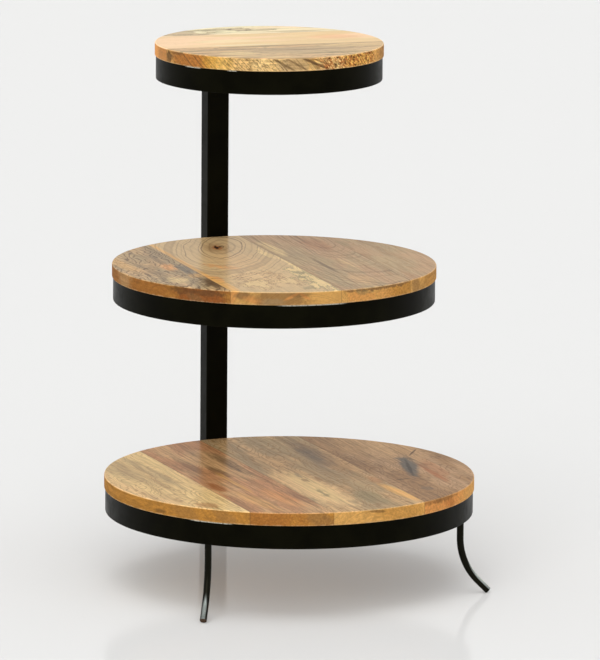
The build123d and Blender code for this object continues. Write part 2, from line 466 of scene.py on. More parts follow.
@cache
def rim_group():
    """Unrolls a tier's rim into degrees and height, with its side faces as a mask."""
    w, inner = new_tree("Unrolled rim", Place="Vector", Radius=200.0, Thickness=18.0,
                        Jitter=6.0, Seed=0.0)
    facing = w.upward()
    axes = w.axes(inner["Place"])
    angle = w.math("ARCTAN2", axes["X"], w.math("ABSOLUTE", axes["Y"]))
    degrees = w.times(angle, 1 / DEGREE)
    up = w.scaled(inner["Thickness"], 0.5, axes["Z"])
    from_bottom = w.scaled(inner["Thickness"], 0.5, up)
    broken = w.line_noise(w.times(degrees, 0.35), detail=3.0)
    arc = w.combined(w.times(angle, inner["Radius"]), up, inner["Seed"])
    drift = w.noise(arc, (0.09, 0.12, 1.0), detail=4.0, roughness=0.65)
    moved = w.scaled(w.minus(drift), inner["Jitter"], degrees)
    return w.close(
        Side=w.span(w.math("ABSOLUTE", facing), 0.75, 0.25),
        Eased_Edge=w.times(w.span(facing, 0.1, 0.5), w.span(facing, 0.995, 0.9)),
        Lower_Line=w.times(w.span(from_bottom, 2.0, 0.9), w.span(broken, 0.4, 0.6)),
        Unrolled=w.combined(degrees, up),
        Arc=arc,
        Share=w.scaled(moved, 1 / 180, 0.5))


@cache
def fleck_group():
    """Small dark or pale flecks of a given size, drawn out along an axis."""
    w, inner = new_tree("Flecks", Vector="Vector", Scale=(0.4, 0.12, 0.4), Level=0.6, Seed=0.0)
    spots = w.noise(inner["Vector"], inner["Scale"], w.triple(inner["Seed"]), 2.0, 0.6, 0.8)
    return w.close(Mask=w.span(w.minus(spots, inner["Level"]), -0.03, 0.05))


@cache
def edge_group():
    """A mask of the outer edges, broken up as handling wears them."""
    w, inner = new_tree("Edge wear", Place="Vector", Radius=0.0008, Patchiness=0.5)
    rounded = w.out("ShaderNodeBevel", inner["Radius"], samples=4)
    turn = w.minus(1.0, w.vector("DOT_PRODUCT", rounded, w.normal()))
    patches = w.noise(inner["Place"], 60.0, detail=4.0, roughness=0.7)
    worn = w.span(patches, w.minus(inner["Patchiness"], 0.12),
                  w.math("ADD", inner["Patchiness"], 0.12))
    return w.close(Mask=w.times(w.span(turn, 0.02, 0.2), worn))


@cache
def dust_group():
    """A thin film of dust and handling marks: more on faces that look up."""
    w, inner = new_tree("Dust and handling", Place="Vector")
    specks = w.noise(inner["Place"], 420.0, detail=4.0, roughness=0.75)
    drifts = w.noise(inner["Place"], 22.0, detail=3.0)
    settled = w.times(w.span(w.upward(), 0.2, 1.0), w.span(specks, 0.35, 0.8))
    return w.close(
        Dust=w.times(settled, w.span(drifts, 0.3, 0.75)),
        Smudge=w.noise(inner["Place"], 38.0, detail=5.0, roughness=0.7, distortion=0.6))


def new_material(name):
    """An empty material: the material, its wiring and the place on its object."""
    material = bpy.data.materials.new(name)
    material.use_nodes = True
    material.node_tree.nodes.clear()
    w = Wiring(material.node_tree)
    return material, w, w.out("ShaderNodeTexCoord", output="Object")


def finished(material, w, **inputs):
    """The material, ended by a shader with these inputs, named with _ for a space."""
    shader = w.out("ShaderNodeBsdfPrincipled", inputs=spaced(inputs))
    w.node("ShaderNodeOutputMaterial", shader)
    return material


def written(colour):
    """A colour as a socket wants it."""
    return (*colour, 1.0)


def paint(code):
    """The linear colour of a six-digit web colour."""
    shares = [int(code[index:index + 2], 16) / 255 for index in (0, 2, 4)]
    return written(share / 12.92 if share <= 0.04045 else ((share + 0.055) / 1.055) ** 2.4
                   for share in shares)


# Board looks

# Tones of the varnished wood
TONES = {
    "cream": "f0dcae", "straw": "dcbe84", "sand": "d8b480", "peach": "ecc498",
    "gold": "e4ae48", "honey": "d8a45c", "orange": "d89452", "tan": "cca472",
    "khaki": "bfa276", "amber": "bc843c", "rose": "b48258", "fawn": "ae8a64",
    "ash": "a48c66", "rust": "98582c", "brown": "8a6640", "olive": "7e7450",
    "umber": "5c442c", "slate": "4c4c48", "char": "24160e",
}
LIGHTEST_WOOD = 0.94


@dataclass(frozen=True)
class Stain:
    """An oval patch in millimetres. On a top it is placed from the tier's middle; on a rim
    by degrees from the front towards +X and by height from the board's middle."""

    x: float
    y: float
    half_x: float
    half_y: float
    tone: str
    share: float = 0.6
    turn: float = 0.0
    ragged: float = 0.3
    soft: float = 0.4
    outline: str = ""


@dataclass(frozen=True)
class Flecks:
    """Short slanting dashes on a stretch of the rim, from low to high in degrees."""

    low: float
    high: float
    tone: str
    share: float = 0.6
    level: float = 0.52


@dataclass(frozen=True)
class Board:
    """How one board looks, in tones: its wood with broad areas of a second tone, darker streaks
    and veins along the grain, the late wood of its growth rings, and its rim. The last three
    hold rows of Stain, Stain and Flecks."""

    wood: str
    second: str
    dark: str
    late: str
    rim: str
    dark_share: float = 0.5
    fibre_share: float = 0.22
    vein_share: float = 0.4
    figure_share: float = 0.2
    pith: tuple = (0.0, 0.0, -70.0)
    stretch: tuple = (1.0, 0.02, 1.0)
    ring_turn: float = 0.0
    ring_width: float = 6.0
    ring_share: float = 0.3
    ring_start: float = 0.45
    ring_reach: float = 9000.0
    waviness: float = 6.0
    end_pith: tuple = (0.0, -70.0)
    end_ring_width: float = 5.0
    end_ring_share: float = 0.2
    rim_dark: str = "umber"
    grit: float = 0.12
    lower_edge_highlight: float = 0.35
    stains: tuple = ()
    rim_stains: tuple = ()
    rim_flecks: tuple = ()


# Each tier's boards: from left to right, and on the top tier from front to rear
BOARDS = {
    "bottom": (
        Board("sand", "straw", "brown", "brown", "amber", figure_share=0.45, pith=(-200, 0, -50),
              stretch=(1, 0.03, 1), ring_width=9, waviness=9, end_pith=(-330, -90),
              stains=(
                (-149, 70, 9, 120, "straw", 0.7, -2), (-152, -100, 12, 60, "straw", 0.5, -2),
                (-183, -146, 13, 17, "rust", 0.4, 20), (-204, 110, 24, 90, "ash", 0.7, 0, 0.3, 0.8),
                (-172, 80, 9, 110, "ash")),
              rim_stains=(
                (-67, -4, 2.4, 3, "umber", 0.5), (-57, 0, 4, 20, "brown", 0.35, 10),
                (-44, 2, 3, 20, "brown", 0.4, 14))),
        Board("rose", "tan", "umber", "umber", "amber", dark_share=0.6, fibre_share=0.28,
              vein_share=0.65, pith=(-120, -40, -40), stretch=(1, 0.015, 1), ring_width=5,
              waviness=8, end_pith=(-110, 40), end_ring_width=7,
              stains=(
                (-127, -48, 9, 28, "rust", 0.7, -2), (-108, 100, 8, 56, "umber", 0.45, -2),
                (-87, 42, 9, 36, "umber", 0.55, -2), (-50, 110, 10, 64, "umber", 0.55, -2),
                (-94, -27, 4, 70, "honey", 0.5, -2), (-112, -150, 12, 60, "honey", 0.4, 4),
                (-72, -140, 14, 60, "orange", 0.4, 2)),
              rim_stains=(
                (-31, 0, 9, 20, "rust", 0.5), (-19.5, 0, 2, 20, "rust", 0.3),
                (-14, -2, 4, 12, "brown", 0.6, 12))),
        Board("ash", "tan", "brown", "umber", "honey", figure_share=0.55, pith=(60, 60, -45),
              stretch=(1, 0.05, 1), waviness=10, end_pith=(20, -60),
              stains=(
                (-10, -105, 26, 120, "sand", 0.95, -2, 0.45),
                (-4, -90, 14, 90, "straw", 0.6, -2, 0.6),
                (84, 70, 18, 140, "brown", 0.5, -2, 0.3, 0.6),
                (86, 120, 14, 70, "slate", 0.45, -4, 0.5, 0.8),
                (70, 70, 10, 56, "slate", 0.4, -6, 0.5, 0.8),
                (6, -14, 4, 13, "slate", 0.4, -6, 0.6), (3, -48, 4, 11, "brown", 0.6, -6, 0.6),
                (21, -51, 4, 14, "brown", 0.6, -6, 0.6), (-8, -121, 5, 14, "olive", 0.6, -6, 0.7),
                (-10, -147, 5, 12, "olive", 0.6, -6, 0.7),
                (38, -180, 20, 40, "olive", 0.45, -4, 0.7), (93, -84, 9, 22, "rust", 0.4, -2),
                (90, -168, 9, 56, "honey", 0.85, 2, 0.15)),
              rim_stains=(
                (13, 1, 9, 20, "amber", 0.5, 14, 0.2, 0.5), (4, 6, 1.8, 3.4, "umber", 0.6, 50))),
        Board("fawn", "brown", "umber", "umber", "orange", dark_share=0.35, figure_share=0.4,
              pith=(190, -20, -20), stretch=(1, 0.16, 1), ring_width=8, waviness=12,
              end_pith=(150, -50),
              stains=(
                (190, 130, 60, 80, "tan", 0.5, 0, 0.4, 0.8),
                (197, -50, 11, 60, "rust", 0.4, -10, 0.4), (184, -76, 4.5, 60, "rust", 0.6, -6),
                (172, -22, 10.5, 64, "slate", 0.85, -18.7, 0.4),
                (183, 32, 9, 9, "slate", 0.6, 0, 0.5), (168, -30, 2.6, 48, "char", 0.6, -18.7),
                (216, 64, 1.7, 22, "umber", 0.9, -37, 0.1),
                (130, -92, 10, 3, "umber", 0.8, 5, 0.15), (136, -158, 9, 11, "slate", 0.35)),
              rim_stains=(
                (31, 6.5, 8, 3.6, "umber", 0.6, 0, 0.5), (35.5, -2, 3, 6, "rust", 0.5, 8),
                (56, 0, 12, 20, "honey", 0.7, 0, 0.3, 0.5))),
    ),
    "middle": (
        Board("ash", "tan", "umber", "umber", "amber", dark_share=0.55, vein_share=0.55,
              figure_share=0.8, pith=(-196, 96, -14), stretch=(1, 0.35, 1), ring_width=9,
              ring_share=0.6, ring_start=0.6, waviness=24, end_pith=(-260, -20), end_ring_width=4,
              end_ring_share=0.4, grit=0.25,
              stains=(
                (-200, 60, 12, 60, "honey", 0.4), (-133, 112, 11, 62, "slate", 0.15, -5),
                (-133, -8, 9, 44, "slate", 0.6, -5), (-148, 22, 8, 28, "orange", 0.6, -12, 0.6),
                (-138, -52, 9, 16, "honey", 0.5, -8, 0.6),
                (-172, -72, 13, 22, "straw", 0.6, -8, 0.5), (-138, -114, 10, 38, "umber", 0.9, -5),
                (-128, -140, 6, 20, "char", 0.5, -5)),
              rim_stains=(
                (-76, 0, 16, 20, "rust", 0.5), (-50, 0, 10, 20, "rust", 0.9),
                (-58, 4, 6, 5, "umber", 0.5, 0, 0.6), (-47, 4, 6, 5, "umber", 0.6, 0, 0.6),
                (-92, 0, 7, 20, "tan"), (-52, -4, 2.8, 6, "brown", 0.6, 24),
                (-44, -4, 3, 4, "rust"))),
        Board("khaki", "khaki", "ash", "umber", "honey", dark_share=0.3, fibre_share=0.09,
              vein_share=0.12, figure_share=0.15, pith=(-32, 137, 0), stretch=(1, 0.37, 0.5),
              ring_turn=-18.8, ring_width=7.6, ring_share=0.85, ring_start=0.55, ring_reach=92,
              waviness=12, end_pith=(-40, -60), end_ring_share=0.3,
              stains=(
                (-66, -100, 40, 70, "sand", 0.45, -8, 0.6, 0.6),
                (-40, 30, 30, 60, "tan", 0.4, -8, 0.6, 0.6),
                (-62, -84, 24, 26, "sand", 0.4, 0, 1.3, 0.2, "brown"),
                (-84, -140, 22, 24, "straw", 0.5, 0, 1.3, 0.2, "brown"),
                (-36, -136, 20, 20, "straw", 0.4, 0, 1.3, 0.2, "brown"),
                (-119, 10, 4, 230, "honey", 0.8, -5.1, 0.25, 0.5),
                (-124, -84, 10, 26, "orange", 0.6, -5, 0.5), (-130, -130, 9, 60, "honey", 0.7, -5),
                (-84, 8, 15, 13, "orange", 0.45, -12, 1.2, 0.3),
                (-72, -12, 16, 10, "orange", 0.3, -12, 0.9, 0.3),
                (18, 66, 6, 34, "straw", 0.8, -5.1, 0.9, 0.3),
                (17, -30, 4, 70, "straw", 0.8, -5.1, 0.6, 0.3),
                (2, -90, 12, 50, "straw", 0.8, -5.1, 1.2, 0.2, "olive"),
                (-2, -160, 16, 54, "straw", 0.8, -5.1, 1.2, 0.2, "olive"),
                (2, -79, 7, 13, "olive", 0.7, 0, 0.9, 0.3),
                (-6, -113, 7, 13, "olive", 0.7, 0, 0.9, 0.3),
                (-32, -190, 10, 9, "olive", 0.5, 0, 0.8, 0.3),
                (-27, 137, 17, 34, "brown", 0.55, -16, 0.25, 0.6),
                (-27, 138, 7, 15, "rust", 0.7, -16, 0.4),
                (-28, 136, 2.2, 14, "char", 0.9, -16, 0.6, 0.3),
                (-25, 141, 7, 2.6, "char", 0.9, 14, 0.6, 0.3)),
              rim_stains=(
                (-8, 0, 13, 20, "honey", 0.5), (-39, 0, 2.4, 20, "orange", 0.7, -8),
                (-34.5, 4, 2.6, 5, "brown", 0.8, -10), (-30, -3, 3, 6, "orange", 0.7, 30),
                (-21, 1, 8.5, 20, "brown", 0.7, 0, 0.3, 0.3), (-24, -4, 4, 4, "ash", 0.5),
                (-17.5, 3, 0.9, 6, "orange", 0.85, -26, 0.15),
                (-13, 3, 0.9, 5, "orange", 0.85, 20, 0.15), (-14, 5, 4, 3, "umber", 0.4, 30))),
        Board("ash", "fawn", "brown", "umber", "honey", fibre_share=0.26, vein_share=0.5,
              pith=(112, 150, -10), stretch=(1, 0.3, 1), ring_width=7, ring_share=0.45,
              ring_start=0.6, waviness=8, end_pith=(80, 60), grit=0.06,
              stains=(
                (112, 110, 18, 46, "rust", 0.35, -5), (42, 100, 9, 56, "straw", 0.6, -5),
                (90, -50, 4, 44, "straw", 0.25, -5), (57, -38, 3, 60, "umber", 0.6, -5, 0.2),
                (62, -140, 3, 46, "umber", 0.5, -5, 0.2), (78, -90, 10, 34, "ash", 0.7, -5, 0.5),
                (60, -160, 14, 44, "tan", 0.5, -5, 0.4)),
              rim_stains=(
                (8, -2, 6, 8, "orange", 0.6, 20, 0.5), (20, -3, 6, 7, "orange", 0.4, 20, 0.5),
                (30, 0, 9, 20, "amber", 0.8), (18, 7.5, 15, 3.2, "brown", 0.9, 0, 0.7, 0.3),
                (9, 4, 3, 3, "olive", 0.5, 30, 0.7))),
        Board("ash", "fawn", "brown", "brown", "honey", dark_share=0.6, fibre_share=0.18,
              vein_share=0.3, figure_share=0.25, pith=(150, 0, -90), ring_share=0.15,
              end_pith=(200, -60), end_ring_share=0.3,
              stains=(
                (149, 104, 8, 26, "olive", 0.4, -5),),
              rim_stains=(
                (58, 0, 16, 20, "amber", 0.7), (36, 0, 2.6, 20, "brown"))),
    ),
    "top": (
        Board("tan", "sand", "olive", "umber", "honey", dark_share=0.9, fibre_share=0.32,
              vein_share=0.7, figure_share=0.5, pith=(-90, 10, -35), stretch=(1, 0.03, 1),
              ring_width=8, waviness=14, end_pith=(-600, -500), end_ring_width=4.2,
              end_ring_share=0.7, grit=0.3,
              stains=(
                (4, -84, 84, 26, "ash", 0.7, -8, 0.3, 0.5), (-60, -50, 60, 7, "ash", 0.6, -10),
                (-60, -31, 66, 2.4, "olive", 0.85, -7.5), (30, -40, 66, 2.2, "olive", 0.7, -7.5),
                (60, -62, 56, 2.2, "brown", 0.5, -7.5), (-30, -28, 22, 5, "olive", 0.5, -8),
                (-84, -84, 26, 16, "straw", 0.7, -20), (90, -64, 44, 12, "straw", 0.4, -8),
                (40, -118, 50, 8, "olive", 0.45, -8, 0.4), (-66, -126, 50, 8, "straw", 0.6, -25)),
              rim_stains=(
                (-62, 0, 18, 20, "amber", 0.9), (-68, 0, 14, 20, "rust"),
                (-84, -1, 3.2, 8, "umber", 0.85, 0, 0.5), (-76, 7, 4, 2.6, "umber", 0.6, 0, 0.5),
                (-38, 0, 14, 20, "straw", 0.5), (-50, 0, 8, 20, "gold", 0.4),
                (-24, 0, 8, 20, "straw"), (-10, 0, 9, 20, "ash", 0.8, 10),
                (20, 0, 20, 20, "gold", 0.4), (8, 0, 9, 20, "straw"), (60, 0, 14, 20, "amber", 0.9),
                (60, 0, 15, 20, "brown", 0.5), (-16, 0, 0.9, 14, "umber", 0.7, 33, 0.15),
                (-9.5, 0, 0.8, 14, "umber", 0.6, 32, 0.15),
                (0.5, 0, 1.3, 14, "umber", 0.9, 40, 0.15),
                (3.5, 2, 0.8, 12, "umber", 0.7, 40, 0.15)),
              rim_flecks=(
                (-48, -14, "umber", 0.6, 0.55), (2, 42, "rust", 0.85, 0.48),
                (2, 44, "char", 0.75, 0.57))),
        Board("peach", "straw", "tan", "tan", "orange", dark_share=0.3, fibre_share=0.1,
              vein_share=0.2, figure_share=0.15, pith=(20, 0, -120), ring_width=10, ring_share=0.2,
              waviness=8,
              stains=(
                (-47, -14, 44, 5, "cream", 0.6, -8), (-48, 26, 42, 14, "cream", 0.3, -8),
                (104, 18, 34, 22, "orange", 0.35, -8, 0.3, 0.6)),
              rim_stains=(
                (-90, 0, 8, 20, "brown", 0.5),)),
        Board("cream", "peach", "ash", "olive", "honey", vein_share=0.5, pith=(120, -40, -20),
              stretch=(1, 0.05, 1), ring_width=9, waviness=18,
              stains=(
                (40, 100, 100, 26, "cream", 0.7, -8),
                (-76, 118, 42, 20, "ash", 0.6, -8, 0.9, 0.2, "olive"),
                (-54, 117, 9, 9, "cream", 0.9, 0, 1.2, 0.2, "brown"),
                (-22, 134, 18, 9, "ash", 0.6, -8, 0.8, 0.2, "olive"),
                (9, 126, 12, 12, "ash", 0.6, -30, 0.8, 0.2, "umber"),
                (37, 112, 20, 8, "ash", 0.6, -8, 0.8, 0.2, "olive"),
                (76, 84, 48, 5, "ash", 0.6, -8))),
    ),
}


def stained(w, colour, place, grain, rows, tone, seed):
    """A colour with a board's patches laid over it in order."""
    for index, row in enumerate(rows):
        stain = Stain(*row)
        patch = w.group(
            stain_group(), Place=place, Grain=grain, Centre=(stain.x, stain.y, 0.0),
            Half_Size=(stain.half_x, stain.half_y, 1000.0), Turn=stain.turn,
            Ragged=stain.ragged, Soft=stain.soft, Seed=seed + index)
        colour = w.lay(colour, tone(stain.tone), patch["Mask"], stain.share)
        if stain.outline:
            colour = w.lay(colour, tone(stain.outline), patch["Outline"], 0.8)
    return colour


def rim_colour(w, look, edge, tone, seed):
    """The colour of a board's rim: end-grain rings, wedges, grit, patches, flecks, and a painted
    highlight along its lower edge.
    """
    arc = edge["Arc"]
    dark = tone(look.rim_dark)
    rings = w.group(
        rings_group(), Vector=arc, Pith=(*look.end_pith, 0.0), Stretch=(1.0, 1.0, 0.0),
        Ring_Width=look.end_ring_width, Waviness=2.5, Late_Start=0.4, Seed=seed + 20)
    wedges = w.noise(arc, (0.05, 0.09, 1.0), detail=3.0, roughness=0.6, distortion=0.8)
    grains = w.noise(arc, (0.55, 0.5, 1.0), detail=3.0, roughness=0.6)
    colour = w.blend(w.span(wedges, 0.5, 0.62, 0.0, 0.2), tone(look.rim), dark)
    colour = stained(w, colour, edge["Unrolled"], w.vector("MULTIPLY", arc, (1.0, 4.0, 1.0)),
                     look.rim_stains, tone, seed + 50)
    colour = w.lay(colour, dark, rings["Late Wood"], look.end_ring_share)
    colour = w.lay(colour, dark, w.span(grains, 0.52, 0.72), look.grit)
    slant = w.turned(arc, math.radians(-50.0))
    for index, row in enumerate(look.rim_flecks):
        flecks = Flecks(*row)
        dots = w.group(fleck_group(), Vector=slant, Scale=(0.42, 0.2, 1.0), Level=flecks.level,
                       Seed=seed + 5 * index)
        low, high = (flecks.low + 90) / 180, (flecks.high + 90) / 180
        within = w.times(w.span(edge["Share"], low - 0.02, low + 0.02),
                         w.span(edge["Share"], high + 0.02, high - 0.02))
        colour = w.lay(colour, tone(flecks.tone), w.times(dots["Mask"], within), flecks.share)
    # painted highlight: a broken pale line along the rim's lower edge
    return w.lay(colour, tone("peach"), edge["Lower Line"], look.lower_edge_highlight)


def top_colour(w, look, place, grain, fibre, tone, seed):
    """The colour of a board's top, before the fine fibres shade it."""
    rings = w.group(
        rings_group(), Vector=grain, Pith=look.pith, Stretch=look.stretch, Turn=look.ring_turn,
        Ring_Width=look.ring_width, Waviness=look.waviness, Late_Start=look.ring_start,
        Reach=look.ring_reach, Seed=seed)
    streak = w.times(w.span(fibre["Streak"], 0.46, 0.7), w.span(fibre["Cloud"], 0.35, 0.6))
    colour = w.lay(tone(look.wood), tone(look.second), fibre["Area"], 0.8)
    colour = w.lay(colour, tone(look.dark), streak, look.dark_share)
    colour = w.lay(colour, tone(look.dark), fibre["Figure"], look.figure_share)
    colour = stained(w, colour, place, grain, look.stains, tone, seed)
    colour = w.lay(colour, tone(look.late), rings["Late Wood"], look.ring_share)
    return w.lay(colour, tone(look.late), fibre["Vein"], look.vein_share)


def board_material(tier, number, start, end):
    """Varnished wood for one board, which runs from start to end across the grain."""
    look = BOARDS[tier.name][number - 1]
    finish = bpy.context.scene.table_finish
    index = TIERS.index(tier)
    seed = 3.7 * number + 11.3 * len(tier.name) + tier.wood_radius * 90
    material, w, where = new_material(f"{tier.name}_board_{number}_wood")

    def tones(light):
        return lambda name: written(
            min(LIGHTEST_WOOD, light * share) for share in paint(TONES[name])[:3])

    def in_millimetres(turn):
        """The place from the middle of the tier's upper face, on axes turned by degrees."""
        return w.out("ShaderNodeMapping", where, (*tier.middle, tier.top),
                     (0.0, 0.0, math.radians(turn)), (MM, MM, MM), vector_type="TEXTURE")

    # painted light and shade: each tier's tones are scaled for how light falls on that tier
    tone = tones(finish.wood_tone_and_painted_light[index])
    place = in_millimetres(0.0)
    grain = in_millimetres(tier.board_skew)
    fibre = w.group(fibre_group(), Vector=grain, Seed=seed)
    edge = w.group(rim_group(), Place=place, Radius=tier.wood_radius / MM,
                   Thickness=(tier.top - tier.hoop_top) / MM, Seed=seed)
    colour = w.blend(edge["Side"], top_colour(w, look, place, grain, fibre, tone, seed),
                     rim_colour(w, look, edge, tones(finish.rim_tone_and_painted_light[index]), seed))

    light = w.span(fibre["Fibre"], 0.3, 0.7, 1.0 + 0.7 * look.fibre_share, 1.0 - look.fibre_share)
    light = w.scaled(w.minus(fibre["Cloud"]), -0.5 * look.fibre_share, light)
    # painted highlight: the eased upper edge is made up to a third lighter
    light = w.times(light, w.scaled(edge["Eased Edge"], 0.32, 1.0))
    grain_and_edge_highlight = w.out("ShaderNodeCombineColor", light, light, light)
    colour = w.blend(1.0, colour, grain_and_edge_highlight, mode="MULTIPLY")
    for seam in (start, end):
        if abs(seam) < tier.wood_radius:
            gap = w.span(w.apart(w.axes(grain)["X"], seam / MM), 0.8, 0.15)
            colour = w.lay(colour, tone("umber"), gap, 0.5)
    colour = w.lay(colour, tone("umber"), fibre["Pore"], 0.3)
    gloss = w.times(w.scaled(edge["Side"], -0.75, 1.0), finish.varnish_weight[index],
                    w.scaled(fibre["Cloud"], 0.3, 0.85))
    height = w.scaled(fibre["Pore"], -0.8, w.times(fibre["Fibre"], 0.5))
    return finished(
        material, w, Base_Color=colour, Roughness=w.scaled(fibre["Streak"], 0.1, 0.5),
        Normal=w.relief(height, 0.35, 0.00025), Specular_IOR_Level=0.0, Coat_Weight=gloss,
        Coat_Roughness=finish.varnish_roughness, Coat_IOR=1.5)


# Finishes of the metal and plastic pieces

DUST_TONE = "8c887c"
WORN_EDGE_TONE = "57503f"
# pale tone of the painted highlights on the hoops' upper outer corners
CORNER_GLINT_TONE = "dcdacc"
# tone of the painted highlight of bright metal on the legs' feet
FOOT_HIGHLIGHT_TONE = "b0b8b4"
SAWN_TONES = ("5f4630", "2e221a")
COAT_TINT = (1.0, 0.95, 0.7)

# Stretches of a hoop's upper outer corner painted pale as a painted highlight,
# in degrees from the front towards +X
HOOP_GLINTS = {
    "bottom": ((-55.0, -41.5),),
    "middle": ((-21.6, 1.7),),
    "top": ((-70.4, -60.3), (-44.8, -40.0)),
}


def corner_glints(w, where, tier):
    """A mask of the painted highlights on stretches of the upper outer corner of a tier's hoop."""
    axes = w.axes(w.vector("SUBTRACT", where, (*tier.middle, tier.hoop_top)))
    around = w.times(w.math("ARCTAN2", axes["X"], w.times(axes["Y"], -1.0)), 1 / DEGREE)
    spots = w.line_noise(w.times(around, 1.3), detail=3.0)
    mask = 0.0
    for low, high in HOOP_GLINTS[tier.name]:
        middle, half = (low + high) / 2, (high - low) / 2
        off = w.math("DIVIDE", w.apart(around, middle), half)
        mask = w.math("MAXIMUM", mask, w.span(off, 1.15, 0.75))
    return w.times(mask, w.span(spots, 0.3, 0.55, 0.35), w.span(axes["Z"], -0.0016, -0.0008))


def steel_material(name, cut=None, tier=None, gloss=0.035, smoother=0.0,
                   highlight_height=0.0, slopes=(0.5, 0.68)):
    """Satin black powder coat. cut is the way that a bare sawn end looks, if there is one, tier is
    the tier whose hoop it coats and whose upper outer corner gets painted highlights, smoother is
    taken off the roughness, and below highlight_height what faces up more than the slopes give is
    painted as bright metal, a painted highlight."""
    finish = bpy.context.scene.table_finish
    material, w, where = new_material(name)
    edge = w.group(edge_group(), Place=where, Radius=0.0007, Patchiness=0.56)["Mask"]
    film = w.group(dust_group(), Place=where)
    base = Vector(finish.steel)
    cloud = w.noise(where, 30.0, detail=4.0)
    colour = w.blend(w.span(cloud, 0.3, 0.7), written(base * 0.7), written(base * 1.6))
    colour = w.lay(colour, paint(DUST_TONE), film["Dust"], 0.1)
    colour = w.lay(colour, paint(WORN_EDGE_TONE), edge, 0.3)
    if tier:
        # painted highlight: pale stretches on the hoop's upper outer corner
        colour = w.blend(corner_glints(w, where, tier), colour, paint(CORNER_GLINT_TONE))
    middle = finish.steel_roughness - smoother
    metal = 0.0
    # painted highlight: the upward sides of the feet are made bright metal
    if highlight_height:
        metal = w.times(w.span(w.axes(where)["Z"], highlight_height, 0.5 * highlight_height),
                        w.span(w.upward(), *slopes), w.span(cloud, 0.3, 0.6, 0.4, 0.9))
        colour = w.blend(metal, colour, paint(FOOT_HIGHLIGHT_TONE))
    if cut:
        ahead = w.vector("DOT_PRODUCT", w.normal(), tuple(cut))
        marks = w.noise(where, (900.0, 900.0, 2600.0), detail=3.0)
        colour = w.blend(w.span(ahead, 0.85, 0.95), colour, w.blend(marks, *map(paint, SAWN_TONES)))
    return finished(
        material, w, Base_Color=colour, Metallic=metal,
        Roughness=w.span(film["Smudge"], 0.3, 0.75, middle - 0.05, middle + 0.09),
        Normal=w.relief(w.noise(where, 650.0), 0.12, 0.0003),
        IOR=1.5, Specular_IOR_Level=gloss, Specular_Tint=written(COAT_TINT))


def plastic_material():
    """Matt moulded plastic with a fine grain."""
    material, w, where = new_material("moulded_insert_plastic")
    film = w.group(dust_group(), Place=where)
    base = Vector(bpy.context.scene.table_finish.plastic)
    cloud = w.noise(where, 90.0, detail=3.0)
    colour = w.blend(cloud, written(base * 0.7), written(base * 1.5))
    return finished(
        material, w, Base_Color=w.lay(colour, paint(DUST_TONE), film["Dust"], 0.2),
        Roughness=w.span(film["Smudge"], 0.3, 0.75, 0.55, 0.75),
        Normal=w.relief(w.noise(where, 1500.0), 0.25, 0.0002), Specular_IOR_Level=0.3)


def zinc_material():
    """Bright zinc plating with a warm and a cool tint."""
    material, w, where = new_material("screw_zinc")
    film = w.group(dust_group(), Place=where)
    base = Vector(bpy.context.scene.table_finish.zinc)
    tint = w.noise(where, 240.0, detail=3.0)
    warm = (base.x * 1.05, base.y * 0.97, base.z * 0.78)
    cool = (base.x * 0.92, base.y * 0.98, base.z * 1.08)
    marks = w.noise(where, (3000.0, 600.0, 3000.0), detail=3.0)
    return finished(
        material, w, Base_Color=w.blend(w.span(tint, 0.35, 0.65), written(warm), written(cool)),
        Roughness=w.span(film["Smudge"], 0.3, 0.75, 0.26, 0.42), Metallic=1.0,
        Normal=w.relief(marks, 0.1, 0.0002))


# Meshes

def linked(name, data):
    """A new object in the scene, at the origin."""
    made = bpy.data.objects.new(name, data)
    bpy.context.scene.collection.objects.link(made)
    return made


def coat(piece, material):
    """Gives a piece or a CAD node one material."""
    piece.data.materials.clear()
    piece.data.materials.append(material)
    return piece


def dress(piece, slot, *nodes):
    """Makes a piece ride with the table and stand for the CAD nodes named."""
    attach(piece, "root")
    if nodes:
        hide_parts(*nodes)
    return piece


def add_piece(name, mesh, material, slot, node):
    """A new piece that stands for a CAD node."""
    return dress(coat(linked(name, mesh), material), slot, node)


def settled_mesh(obj, name):
    """The plain mesh that an object's modifiers make. The object is then removed."""
    graph = bpy.context.evaluated_depsgraph_get()
    mesh = bpy.data.meshes.new_from_object(
        obj.evaluated_get(graph), preserve_all_data_layers=True, depsgraph=graph)
    mesh.name = name
    bpy.data.objects.remove(obj)
    return mesh


def smoothed(shape, name, crease=50.0):
    """A bmesh as a mesh, smooth but for its creases, with its flats kept flat."""
    bmesh.ops.remove_doubles(shape, verts=shape.verts, dist=1e-6)
    bmesh.ops.dissolve_degenerate(shape, edges=shape.edges, dist=1e-6)
    bmesh.ops.recalc_face_normals(shape, faces=shape.faces)
    mesh = bpy.data.meshes.new(name)
    shape.to_mesh(mesh)
    shape.free()
    mesh.polygons.foreach_set("use_smooth", [True] * len(mesh.polygons))
    mesh.set_sharp_from_angle(angle=math.radians(crease))
    draft = linked("draft", mesh)
    weighted = draft.modifiers.new("flats", "WEIGHTED_NORMAL")
    weighted.keep_sharp = True
    weighted.weight = 100
    return settled_mesh(draft, name)


def following(items):
    """Each item with the one after it, and the last with the first."""
    return zip(items, items[1:] + items[:1])


def stitch(shape, rings, closed=False):
    """Walls between rings of vertices in order, and from the last to the first if closed."""
    for lower, upper in following(rings) if closed else zip(rings, rings[1:]):
        for (low, low_after), (up, up_after) in zip(following(lower), following(upper)):
            shape.faces.new((low, low_after, up_after, up))


def quarter_turn(radius, steps=5):
    """Pairs of rise and run round a quarter of a circle, from level to upright."""
    for step in range(steps + 1):
        angle = math.pi / 2 * step / steps
        yield radius * (1 - math.cos(angle)), radius * (1 - math.sin(angle))


